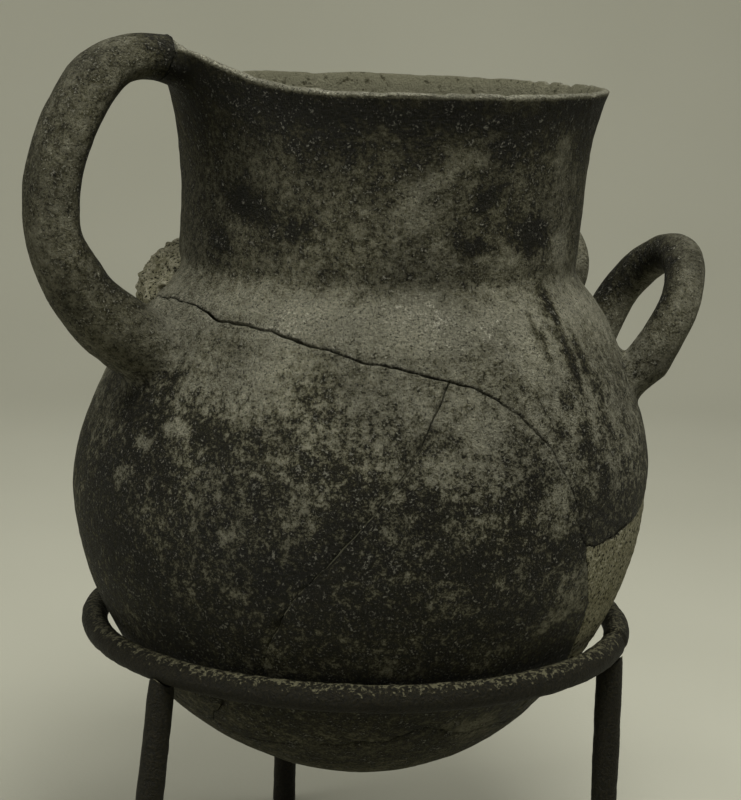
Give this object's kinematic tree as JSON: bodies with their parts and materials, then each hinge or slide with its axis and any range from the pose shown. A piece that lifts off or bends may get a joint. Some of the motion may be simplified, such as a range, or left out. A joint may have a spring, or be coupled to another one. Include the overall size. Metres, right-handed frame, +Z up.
{
  "type": "jug",
  "caption": "Large round-bottomed clay jug with a wide flaring neck, a tall side handle and small loop handles, mended from sherds and seated in an iron ring stand.",
  "frame": {"origin": "on the floor, under the middle of the model's own box", "axes": "+Z up, the big handle lies towards -X, the loop handles towards +X"},
  "size_m": [0.397, 0.32, 0.4963],
  "materials": {
    "clay": "burnished slip, worn and mottled",
    "plaster": "rough mending plaster",
    "iron": "dark bare bar, scuffed"
  },
  "bodies": {
    "stand": {"stand_ring": "iron", "leg_left": "iron", "leg_right": "iron", "leg_back": "iron"},
    "jug": {"neck_and_shoulder": "clay", "sherd_front_left": "clay", "sherd_front_right": "clay", "sherd_back_left": "clay", "sherd_back_right": "clay", "sherd_base": "clay", "sherd_base_chip": "clay", "fill_patch": "plaster", "shoulder_mend": "plaster", "main_handle": "clay", "loop_handle_front": "clay", "loop_handle_back": "clay"}
  },
  "joints": [
    {"name": "jug_lift", "type": "slide", "parent": "stand", "child": "jug", "axis": [0, 0, 1], "range_m": [0, 0.15]}
  ]
}
